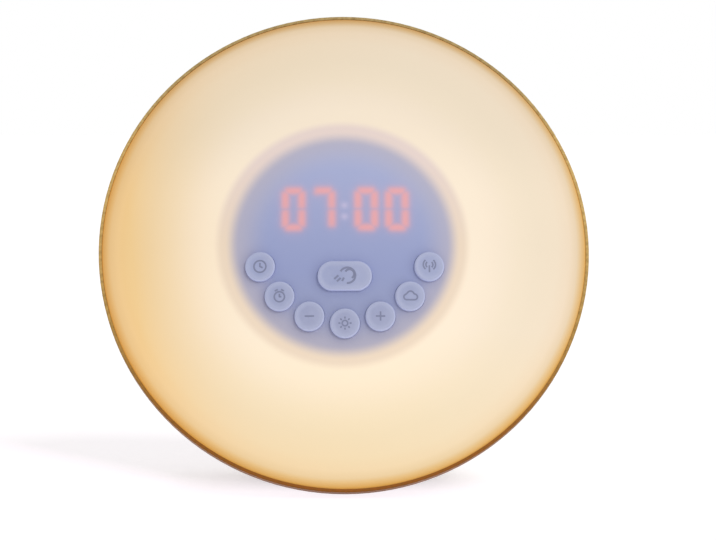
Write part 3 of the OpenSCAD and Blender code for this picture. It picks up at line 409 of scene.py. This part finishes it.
def key_plastic(name):
    """The cover's own opal acrylic, unlit, on the key of that name. It gives a blue-grey mottled every 2.4
    mm or so, with painted highlights on its right side and along its rounded edge, where the lamp's light
    falls, and a seam of light that leaks out from inside, strongest below the key."""
    made, tree, shader = new_material("opal_acrylic_" + name + "_key")
    vector, u, v = face_axes(tree)
    x, y = KEY_AT[name]
    across = add(tree, "Math", {0: u}, {1: x * MM}, operation="SUBTRACT").outputs[0]
    # A painted highlight on the key's right side, towards the lamp
    right = add(tree, "MapRange", {"Value": across}, {1: -0.001, 2: 0.0045, 4: 0.4}).outputs[0]
    if name == "snooze":
        # On the long key only the way past its straight sides counts
        across = add(tree, "Math", {0: across}, operation="ABSOLUTE").outputs[0]
        across = add(
            tree, "Math", {0: across}, {1: SNOOZE_STRAIGHT / 2 * MM}, operation="SUBTRACT", use_clamp=True
        ).outputs[0]
    up = add(tree, "Math", {0: v}, {1: y * MM}, operation="SUBTRACT").outputs[0]
    spot = add(tree, "CombineXYZ", {0: across, 1: up}).outputs[0]
    away = add(tree, "VectorMath", {0: spot}, operation="LENGTH").outputs["Value"]
    high = add(tree, "MapRange", {"Value": v}, {1: -0.034, 2: 0.0}).outputs[0]
    tone = stops(
        add(tree, "ValToRGB", {"Fac": high}), (0.0, "#a2a6c5"), (0.6, "#9ea6cb"), (1.0, "#a4abd0")
    ).outputs[0]
    mottle = add(tree, "TexNoise", {"Vector": vector}, {"Scale": 420, "Detail": 3.0}).outputs["Fac"]
    pale = add(tree, "MapRange", {"Value": mottle}, {1: 0.3, 2: 0.75, 4: 0.3}).outputs[0]
    # A painted highlight along the rounded edge, where the lamp's light falls, and the seam where light
    # leaks out
    wear_and_painted_sheen, leak = (
        add(
            tree, "MapRange", {"Value": away}, {1: start, 2: end, 4: most}, interpolation_type="SMOOTHSTEP"
        ).outputs[0]
        for start, end, most in ((0.0028, 0.0043, 0.6), (0.0045, 0.0052, 1.0))
    )
    # The mottle is the acrylic's own tone; paler on the right and along the edge are painted highlights
    for part, code in ((pale, "#b3b9d6"), (right, "#b8bddb"), (wear_and_painted_sheen, "#b5bbd9")):
        tone = add(tree, "Mix", {0: part, 6: tone}, {7: linear(code)}, data_type="RGBA").outputs[2]
    under = add(tree, "MapRange", {"Value": up}, {1: 0.005, 2: -0.005, 3: 0.02, 4: 0.36}).outputs[0]
    leak = add(tree, "Math", {0: leak, 1: under}, operation="MULTIPLY").outputs[0]
    bump = add(tree, "Bump", {"Height": mottle}, {"Strength": 0.08, "Distance": 0.0002})
    tree.links.new(tone, shader.inputs["Base Color"])
    tree.links.new(leak, shader.inputs["Emission Strength"])
    tree.links.new(bump.outputs[0], shader.inputs["Normal"])
    shader.inputs["Emission Color"].default_value = linear("#a9aecf")
    shader.inputs["Roughness"].default_value = 0.5
    shader.inputs["IOR"].default_value = 1.49
    return made


OPAL = opal_cover()
TRIM = amber_rim()
SHELL = moulded("moulded_white_abs", "#efebe2", "#e9e4d9", 0.5, 0.7, 0.03)
INK = moulded("screen_printed_grey_ink", "#858aa8", "#7d82a1", 0.6, 0.3, 0.004)
NODE_LOOKS = {
    "edge_ring": TRIM,
    "rear_housing": SHELL,
    "battery_door": SHELL,
    "rubber_feet": moulded("moulded_silicone_feet", "#dcd8d0", "#d0ccc3", 0.6, 0.5, 0.03),
    "switch_bodies": moulded("switch_nylon", "#b9bcc0", "#acafb4", 0.5),
    "display_board": board("display_board_mask", "#1d5636", "#2c7a4c"),
    "digit_module": moulded("grey_module_epoxy", "#4c5164", "#434759", 0.45),
    "light_shield": moulded("white_shield_polypropylene", "#f2efe8", "#e8e4da", 0.5),
    "reflector_bowl": moulded("gloss_white_reflector", "#fbfaf6", "#f3f1ea", 0.25),
    "lamp_board": board("white_lamp_board_mask", "#f1f1ec", "#dcdcd4"),
    "main_board": board("main_board_mask", "#1d5636", "#2c7a4c"),
    "control_chips": moulded("black_epoxy_chips", "#1b1b1d", "#232325", 0.4, 0.3, 0.01),
    "capacitors": moulded("blue_capacitor_sleeve", "#2c3f7a", "#26376c", 0.3, 1.0, 0.01),
    "inductor": moulded("grey_ferrite_core", "#3a3a3c", "#303032", 0.6),
    "crystal": metal("nickel_crystal_can", "#c9c9c9", 0.3),
    "connectors": moulded("ivory_nylon_plugs", "#efe9da", "#e4ddcb", 0.45),
    "speaker_basket": metal("painted_steel_basket", "#5b5d60", 0.45),
    "speaker_magnet": moulded("speaker_ferrite", "#3c3c3f", "#323235", 0.55),
    "speaker_yoke": metal("zinc_plated_yoke", "#a8a9ab", 0.35),
    "voice_coil": metal("enamelled_copper_coil", "#b5713c", 0.35),
    "speaker_cone": moulded("pressed_paper_cone", "#33322f", "#2a2926", 0.85, 0.9, 0.08),
    "speaker_surround": moulded("foam_surround", "#1d1d1d", "#262626", 0.9, 0.8, 0.08),
    "dust_cap": moulded("paper_dust_cap", "#262522", "#1f1e1b", 0.85, 0.9, 0.05),
    "speaker_gasket": moulded("felt_gasket", "#2a2a2a", "#202020", 0.95, 0.6, 0.1),
    "power_socket": moulded("black_socket_nylon", "#161616", "#1d1d1d", 0.4),
    "socket_pin": metal("nickelled_brass_pin", "#d8d2c0", 0.25),
    "aerial_bush": moulded("black_bush_rubber", "#2b2b2b", "#242424", 0.7),
    "backup_cells": metal("lacquered_cell_sleeve", "#5a6a7c", 0.4),
    "battery_contacts": metal("nickelled_contact_plate", "#c8c4b8", 0.25),
    "battery_springs": metal("nickelled_spring_wire", "#d0d0d0", 0.25),
    "ribbon_cable": moulded("grey_ribbon_pvc", "#b9b9bd", "#ababaf", 0.5),
    "lamp_wires": moulded("red_wire_pvc", "#c83a32", "#b5332c", 0.4),
    "battery_wires": moulded("red_battery_wire_pvc", "#c83a32", "#b5332c", 0.4),
    "power_wires": moulded("red_power_wire_pvc", "#c83a32", "#b5332c", 0.4),
    "speaker_wires": moulded("grey_wire_pvc", "#3a3a3c", "#303032", 0.4),
}
SCREW = metal("zinc_plated_screw", "#b8b8b8", 0.32)
PLUNGER = moulded("black_plunger_nylon", "#222222", "#2a2a2a", 0.45)


def glowing(name, colour, strength):
    """Clear resin over a lit chip or bar: its colour shines by itself, a little unevenly."""
    made, tree, shader = new_material(name)
    spot = add(tree, "TexCoord").outputs["Object"]
    cloud = add(tree, "TexNoise", {"Vector": spot}, {"Scale": 600, "Detail": 2.0}).outputs["Fac"]
    tone = add(tree, "Mix", {0: cloud}, {6: linear(colour), 7: linear("#ffe9c9")}, data_type="RGBA")
    soft = add(tree, "Mix", {7: tone.outputs[2]}, {0: 0.3, 6: linear(colour)}, data_type="RGBA")
    tree.links.new(soft.outputs[2], shader.inputs["Base Color"])
    tree.links.new(soft.outputs[2], shader.inputs["Emission Color"])
    shader.inputs["Emission Strength"].default_value = strength
    shader.inputs["Roughness"].default_value = 0.4
    return made


NODE_LOOKS["lamp_chips"] = glowing("phosphor_lamp_chips", "#ffd27a", 1.5)
NODE_LOOKS["digit_segments"] = glowing("red_segment_resin", "#ff7a52", 1.0)

for name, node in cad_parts.items():
    look = NODE_LOOKS.get(name)
    if name.endswith("_key"):
        look = key_plastic(name[:-4])
    elif name.endswith("_plunger"):
        look = PLUNGER
    elif name.endswith("_screws"):
        look = SCREW
    if look:
        for socket in node.material_slots:
            socket.material = look


# ---------------------------------------------------------------- the cover


def soft_box(x, y, half_x, half_y, blur):
    """How much of a lit bar shows at x, y through the milky wall: the product of a blurred step each way,
    which is half the difference of tanh((a + half) / blur) and tanh((a - half) / blur)."""

    def edge(a, half):
        return 0.5 * (np.tanh((a + half) / blur) - np.tanh((a - half) / blur))

    return edge(x, half_x) * edge(y, half_y)


def bar_glow(u, v):
    """Light of the display's lit bars at u, v on the face: the largest blurred core and the sum of the wide
    faint halos, from the seven bars of each digit, for 07:00. The seven's last bar shows only at its
    upper end."""
    half_w, half_h = (DIGIT_W - BAR_W) / 2, (DIGIT_H - BAR_W) / 2
    core, halo = np.zeros_like(u), np.zeros_like(u)
    lit = {"0": "abcdef", "7": "abcF"}
    upright = {"b": (1, 1), "c": (1, -1), "e": (-1, -1), "f": (-1, 1)}
    for x, digit in zip(DIGIT_X, "0700"):
        for bar in lit[digit]:
            if bar in "ad":
                at, half = (x, half_h if bar == "a" else -half_h), (half_w + 0.2, BAR_W / 2 + 0.15)
            elif bar == "F":
                at, half = (x - half_w + 0.7, half_h - 0.5), (BAR_W / 2, 1.0)
            else:
                side, up = upright[bar]
                at, half = (x + side * half_w, up * half_h / 2), (BAR_W / 2 + 0.2, half_h / 2 - 0.05)
            du, dv = u - at[0], v - DIGIT_UP - at[1]
            core = np.maximum(core, soft_box(du, dv, *half, CORE_BLUR))
            halo += soft_box(du, dv, *half, HALO_BLUR)
    return np.clip(CORE_SHARE * core + HALO_SHARE * np.minimum(halo, 1.0), 0, 1)


def dot_glow(u, v):
    """Light of the two dots between the hours and the minutes: exp(-(distance / DOT_R)^2) about each."""
    middle = DIGIT_UP - DOT_DOWN
    glow = [np.exp(-((u**2 + (v - middle - side * DOT_APART / 2) ** 2) / DOT_R**2)) for side in (-1, 1)]
    return DOT_SHARE * np.maximum(*glow)


def key_shade(u, v):
    """Painted shadow of the keys on the milky wall beside them: exp(-(distance from a key's edge / SHADE_W)
    squared), times a share that is largest at its lower left, away from the lamp."""
    shade = np.zeros_like(u)
    for name, (x, y) in KEY_AT.items():
        straight = SNOOZE_STRAIGHT / 2 if name == "snooze" else 0
        across, up = np.sign(u - x) * np.maximum(np.abs(u - x) - straight, 0), v - y
        away = np.hypot(across, up)
        side = 0.6 - 0.4 * (0.85 * across + 0.53 * up) / np.maximum(away, 0.1)
        shade = np.maximum(shade, side * np.exp(-((np.maximum(away - KEY_R, 0) / SHADE_W) ** 2)))
    return SHADE_SHARE * shade


def hole_outline(name, grow):
    """Rim of a key's hole, widened by grow, as u, v: a circle, or two half circles joined by straight
    sides, seen square to the face."""
    angle = np.linspace(0, TAU, HOLE_POINTS, endpoint=False)
    x, y = (HOLE_R + grow) * np.cos(angle), (HOLE_R + grow) * np.sin(angle)
    if name == "snooze":
        x = x + np.where(x >= 0, SNOOZE_STRAIGHT / 2, -SNOOZE_STRAIGHT / 2)
    return np.array(KEY_AT[name]) + np.stack([x, y], axis=-1)


def in_hole(u, v, grow):
    """True where u, v lies in a key's hole widened by grow."""
    inside = np.zeros(u.shape, bool)
    for name, (x, y) in KEY_AT.items():
        along = np.maximum(np.abs(u - x) - (SNOOZE_STRAIGHT / 2 if name == "snooze" else 0), 0)
        inside |= np.hypot(along, v - y) < HOLE_R + grow
    return inside


def cover_middle():
    """Points and triangles of the middle of the dome, as u, v: the rim's circle, the holes' rims, a coarse
    grid, a closer one beside the keys and a fine one where the digits show, joined by a constrained
    triangulation that leaves the holes open. The rows of each loop's points come with them."""
    turn = np.linspace(0, TAU, AROUND, endpoint=False)
    rim = MIDDLE_R * np.stack([np.cos(turn), np.sin(turn)], axis=-1)
    loops = [rim] + [hole_outline(name, 0) for name in KEY_AT]
    guards = [hole_outline(name, 0.45) for name in KEY_AT]
    a = np.arange(-MIDDLE_R, MIDDLE_R, COARSE_STEP)
    coarse = np.stack(np.meshgrid(a, a), axis=-1).reshape(-1, 2)
    b, c = np.arange(-FINE_HALF, FINE_HALF + 0.01, FINE_STEP), np.arange(FINE_LOW, FINE_HIGH, FINE_STEP)
    fine = np.stack(np.meshgrid(b, c), axis=-1).reshape(-1, 2)
    in_fine = (np.abs(coarse[:, 0]) < 25.6) & (coarse[:, 1] > 0.9) & (coarse[:, 1] < 23.6)
    coarse = coarse[~in_fine & (np.hypot(*coarse.T) < MIDDLE_R - 0.7) & ~in_hole(*coarse.T, 4.2)]
    b = np.arange(-40, 40, BESIDE_STEP)
    beside = np.stack(np.meshgrid(b, b), axis=-1).reshape(-1, 2)
    beside = beside[in_hole(*beside.T, 3.9) & ~in_hole(*beside.T, 0.75) & (beside[:, 1] < 0.9)]
    points = np.concatenate(loops + guards + [coarse, beside, fine])
    edges, first = [], 0
    for loop in loops:
        k = np.arange(len(loop))
        edges += list(zip((first + k).tolist(), (first + (k + 1) % len(loop)).tolist()))
        first += len(loop)
    found = delaunay_2d_cdt([Vector(p) for p in points.tolist()], edges, [], 0, 1e-6)
    spots = np.array([tuple(p) for p in found[0]])
    where = np.full(len(points), -1)
    for new, olds in enumerate(found[3]):
        where[olds] = new
    faces = np.array(found[2])
    middle = spots[faces].mean(axis=1)
    faces = faces[~in_hole(*middle.T, 0)]
    ends = np.cumsum([0] + [len(loop) for loop in loops])
    return spots, faces, [where[ends[i] : ends[i + 1]] for i in range(len(loops))]


def dome(r, radius):
    """Height of a ball of that radius about the dome's centre, at r from the axis: DOME_Z + sqrt(radius^2 -
    r^2)."""
    return DOME_Z + np.sqrt(radius**2 - r**2)


def cover_section():
    """Section of the cover outside its middle as r, w: out over the dome, round the shoulder, down the
    skirt, in under it, round the tongue, and back along the inner dome."""
    shoulder_x = SKIRT_R - SHOULDER_R
    shoulder_z = float(dome(shoulder_x, DOME_R - SHOULDER_R))
    start = math.acos(shoulder_x / (DOME_R - SHOULDER_R))
    out_r = np.linspace(MIDDLE_R, shoulder_x * DOME_R / (DOME_R - SHOULDER_R), 24)
    bend = np.linspace(start, 0, 12)[1:]
    inner_r = np.linspace(TONGUE_IN, MIDDLE_R * (DOME_R - COVER_T) / DOME_R, 16)
    low = -SKIRT_H - TONGUE_L
    parts = [
        np.stack([out_r, dome(out_r, DOME_R)], axis=-1),
        np.stack([shoulder_x + SHOULDER_R * np.cos(bend), shoulder_z + SHOULDER_R * np.sin(bend)], axis=-1),
        [[SKIRT_R, -SKIRT_H + 0.3], [SKIRT_R - 0.3, -SKIRT_H], [TONGUE_OUT, -SKIRT_H]],
        [[TONGUE_OUT, low + 0.2], [TONGUE_OUT - 0.2, low], [TONGUE_IN + 0.2, low], [TONGUE_IN, low + 0.2]],
        np.stack([inner_r, dome(inner_r, DOME_R - COVER_T)], axis=-1),
    ]
    return np.concatenate([np.asarray(p) for p in parts])


def make_cover():
    """The cover: its middle on the dome w = DOME_Z + sqrt(DOME_R^2 - u^2 - v^2), the same drawn in towards
    the dome's centre by its thickness, both joined at the holes' rims, and the rest turned about w."""
    spots, faces, loops = cover_middle()
    u, v = spots.T
    outside = np.stack([u, v, DOME_Z + np.sqrt(DOME_R**2 - u**2 - v**2)], axis=-1)
    centre = np.array([0, 0, DOME_Z])
    inside = centre + (outside - centre) * (DOME_R - COVER_T) / DOME_R
    section = cover_section()[1:-1]
    turn = np.linspace(0, TAU, AROUND, endpoint=False)
    r, w = section[:, :1], np.repeat(section[:, 1:], AROUND, 1)
    rings = np.stack([r * np.cos(turn), r * np.sin(turn), w], axis=-1)
    n = len(spots)
    grid = [strip(len(section), AROUND, 2 * n, close_cols=True)[:, ::-1]]
    rim, first = loops[0], 2 * n + np.arange(AROUND)
    last = first + (len(section) - 1) * AROUND
    for a, b in ((rim, first), (last, rim + n)):
        grid.append(np.stack([a, b, np.roll(b, -1), np.roll(a, -1)], axis=-1))
    for loop in loops[1:]:
        grid.append(np.stack([loop, np.roll(loop, -1), np.roll(loop, -1) + n, loop + n], axis=-1))
    points = np.concatenate([outside, inside, rings.reshape(-1, 3)])
    grid = [faces, faces[:, ::-1] + n] + grid
    made = piece("front_cover", face_to_clock(*points.T), grid, OPAL, "case", smooth_to=40)
    for made_of in (bar_glow, dot_glow, key_shade):
        values = np.zeros(len(points), np.float32)
        values[:n] = made_of(u, v)
        made.data.attributes.new(made_of.__name__, "FLOAT", "POINT").data.foreach_set("value", values)
    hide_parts("front_diffuser")


make_cover()


# ---------------------------------------------------------------- symbols on the keys


def arc(cx, cy, r, start, end, count=25):
    """Points of an arc about cx, cy, from start to end in degrees."""
    a = np.radians(np.linspace(start, end, count))
    return np.stack([cx + r * np.cos(a), cy + r * np.sin(a)], axis=-1)


def line(*points):
    """Points along straight stretches, close enough to follow the key's dished top."""
    points = np.array(points, float)
    share = np.linspace(0, 1, 7)[:-1, None]
    parts = [a + (b - a) * share for a, b in zip(points, points[1:])]
    return np.concatenate(parts + [points[-1:]])


def key_top(x, y, straight):
    """Height of a key's dished top over the dome: KEY_PROUD - KEY_DISH + DISH_R - sqrt(DISH_R^2 - x^2 -
    y^2), with x counted from the ends of the straight sides on the long key."""
    along = np.maximum(np.abs(x) - straight / 2, 0)
    return KEY_PROUD - KEY_DISH + DISH_R - np.sqrt(DISH_R**2 - along**2 - y**2)


def printed(name, strokes, width):
    """Ink lines on a key: each stroke is a flat bar of four corners carried along its path on the dished
    top, INK_OVER above it and INK_UNDER into it."""
    at = KEY_AT[name]
    straight = SNOOZE_STRAIGHT if name == "snooze" else 0
    points, faces, first = [], [], 0
    for path in strokes:
        closed = np.hypot(*(path[0] - path[-1])) < 1e-6
        path = path[:-1] if closed else path
        ahead, behind = np.roll(path, -1, 0), np.roll(path, 1, 0)
        if not closed:
            ahead[-1], behind[0] = path[-1], path[0]
        along = ahead - behind
        along /= np.hypot(*along.T)[:, None]
        side = np.stack([-along[:, 1], along[:, 0]], axis=-1) * width / 2
        edge = np.stack([path + side, path - side, path - side, path + side], axis=1)
        lift = np.array([INK_OVER, INK_OVER, -INK_UNDER, -INK_UNDER])
        z = key_top(edge[..., 0], edge[..., 1], straight) + lift
        points.append(key_to_clock(at, edge[..., 0], edge[..., 1], z).reshape(-1, 3))
        faces.append(strip(len(path), 4, first, close_rows=closed, close_cols=True))
        if not closed:
            last = first + 4 * (len(path) - 1)
            ends = [[first + 3, first + 2, first + 1, first], [last, last + 1, last + 2, last + 3]]
            faces.append(np.array(ends))
        first += 4 * len(path)
    made = piece(name + "_symbol", np.concatenate(points), faces, INK, name + "_press", smooth_to=30)


rays = [
    line((1.55 * math.cos(a), 1.55 * math.sin(a)), (2.25 * math.cos(a), 2.25 * math.sin(a)))
    for a in np.linspace(0, TAU, 8, endpoint=False)
]
cloud_line = np.concatenate(
    [
        arc(-1.25, -0.35, 0.95, 270, 110, 12), arc(0.1, 0.45, 1.25, 150, 20, 14),
        arc(1.45, -0.3, 1.0, 85, -90, 12),
    ]
)
SYMBOLS = {
    "clock": [arc(0, 0, 2.05, 0, 360, 41), line((0, 1.25), (0, 0), (0.95, -0.45))],
    "alarm": [
        arc(0, -0.2, 1.75, 0, 360, 37), arc(0, -0.2, 2.5, 52, 78, 6), arc(0, -0.2, 2.5, 102, 128, 6),
        line((0, 0.8), (0, -0.2), (0.7, -0.2)),
    ],
    "minus": [line((-1.6, 0), (1.6, 0))],
    "light": [arc(0, 0, 0.95, 0, 360, 25)] + rays,
    "plus": [line((-1.6, 0), (1.6, 0)), line((0, 1.6), (0, 0.3)), line((0, -0.3), (0, -1.6))],
    "sound": [np.concatenate([cloud_line, line((1.45, -1.3), (-1.25, -1.3))[1:]])],
    "radio": [
        line((0, -2.1), (0, 0.35)), arc(0, 0.6, 1.2, -50, 50, 9), arc(0, 0.6, 2.1, -50, 50, 13),
        arc(0, 0.6, 1.2, 130, 230, 9), arc(0, 0.6, 2.1, 130, 230, 13),
    ],
    "snooze": [
        arc(0.9, 0.1, 2.7, -95, 150, 41), arc(1.6, 0.6, 1.6, -60, 150, 25), line((-3.6, -1.2), (-2.2, 0.1)),
        line((-2.7, -2.0), (-1.4, -0.8)), line((-0.9, -1.9), (-0.3, -0.7)),
    ],
}
for name, strokes in SYMBOLS.items():
    printed(name, strokes, SNOOZE_INK_W if name == "snooze" else INK_W)


# ---------------------------------------------------------------- the stage


def floor_look():
    """Pale seamless paper: white to the camera, with only the lilac of the clock's soft shadow kept. The
    lit paper is made white by its own shine, and how much of its colour comes from the lamps sets how
    deep the shadow shows: less in front of the clock, and less past the shadow's near edge on its left."""
    made, tree, shader = new_material("studio_paper")
    path = add(tree, "LightPath").outputs
    seen = add(
        tree, "Math", {0: path["Is Camera Ray"], 1: path["Is Glossy Ray"]}, operation="ADD"
    ).outputs[0]
    seen = add(
        tree, "Math", {0: seen, 1: path["Is Transmission Ray"]}, operation="ADD", use_clamp=True
    ).outputs[0]
    spot = add(tree, "TexCoord").outputs["Object"]
    parts = add(tree, "SeparateXYZ", {0: spot})
    depth = add(
        tree, "MapRange", {"Value": parts.outputs[1]}, {1: -0.025, 2: 0.02, 3: 0.2, 4: 0.85}
    ).outputs[0]
    # To the left of the clock the shadow's near edge runs back and outwards, 1.6 mm back for each 1 mm out
    slant = add(
        tree, "VectorMath", {0: spot}, {1: (1.6, 1.0, 0)}, operation="DOT_PRODUCT"
    ).outputs["Value"]
    near = add(tree, "MapRange", {"Value": slant}, {1: -0.105, 2: -0.065, 3: 0.12, 4: 1.0}).outputs[0]
    beside = add(tree, "MapRange", {"Value": parts.outputs[0]}, {1: -0.045, 2: -0.065}).outputs[0]
    near = add(tree, "Mix", {0: beside, 3: near}, {2: 1.0}).outputs[0]
    depth = add(tree, "Math", {0: depth, 1: near}, operation="MULTIPLY").outputs[0]
    lit = add(tree, "Mix", {0: seen, 3: depth}, {2: 0.95}).outputs[0]
    tone = add(tree, "CombineColor", {0: lit, 1: lit, 2: lit}).outputs[0]
    shine = add(tree, "Math", {0: depth}, {1: -0.784, 2: 1.10}, operation="MULTIPLY_ADD").outputs[0]
    shine = add(tree, "Math", {0: shine, 1: seen}, operation="MULTIPLY").outputs[0]
    tree.links.new(tone, shader.inputs["Base Color"])
    tree.links.new(shine, shader.inputs["Emission Strength"])
    shader.inputs["Emission Color"].default_value = (1.0, 0.93, 0.97, 1)
    shader.inputs["Roughness"].default_value = 0.9
    shader.inputs["Specular IOR Level"].default_value = 0.0
    return made


corners = [(x * FLOOR_HALF, y * FLOOR_HALF, 0) for x, y in ((-1, -1), (1, -1), (1, 1), (-1, 1))]
floor = piece("floor", corners, [np.array([[0, 1, 2, 3]])], floor_look(), None)

world = bpy.data.worlds.new("studio")
bpy.context.scene.world = world
world.use_nodes = True
sky = world.node_tree
back = sky.nodes["Background"]
back.inputs["Color"].default_value = (1, 1, 1, 1)
seen = add(sky, "LightPath").outputs
direct = add(sky, "Math", {0: seen["Is Camera Ray"], 1: seen["Is Glossy Ray"]}, operation="MAXIMUM")
direct = add(sky, "Math", {0: direct.outputs[0], 1: seen["Is Transmission Ray"]}, operation="MAXIMUM")
level = add(sky, "MapRange", {"Value": direct.outputs[0]}, {3: 0.6, 4: 1.0})
sky.links.new(level.outputs[0], back.inputs["Strength"])


def sun(name, across, up, strength, spread):
    """A soft white lamp far away: across is its angle right of the front, up its height and spread its
    width, all in degrees."""
    lamp = bpy.data.lights.new(name, "SUN")
    lamp.energy = strength
    lamp.angle = math.radians(spread)
    made = bpy.data.objects.new(name, lamp)
    a, e = math.radians(across), math.radians(up)
    way = Vector((math.sin(a) * math.cos(e), -math.cos(a) * math.cos(e), math.sin(e)))
    made.rotation_euler = way.to_track_quat("Z", "Y").to_euler()
    bpy.context.scene.collection.objects.link(made)


sun("key_lamp", 38, 40, 0.95, 20)

camera = bpy.data.cameras.new("camera")
viewer = bpy.data.objects.new("camera", camera)
bpy.context.scene.collection.objects.link(viewer)
bpy.context.scene.camera = viewer
aim, across = Vector(CAMERA_AIM) * MM, math.cos(CAMERA_RISE)
viewer.location = aim + CAMERA_AWAY * MM * Vector(
    (math.sin(CAMERA_RIGHT) * across, -math.cos(CAMERA_RIGHT) * across, math.sin(CAMERA_RISE))
)
viewer.rotation_euler = (viewer.location - aim).to_track_quat("Z", "Y").to_euler()
camera.sensor_fit = "HORIZONTAL"
camera.angle = 2 * math.atan(FRAME_W * PIXEL / 2 / CAMERA_AWAY)
camera.clip_start, camera.clip_end = 0.01, 50
bpy.context.scene.view_settings.view_transform = "Standard"
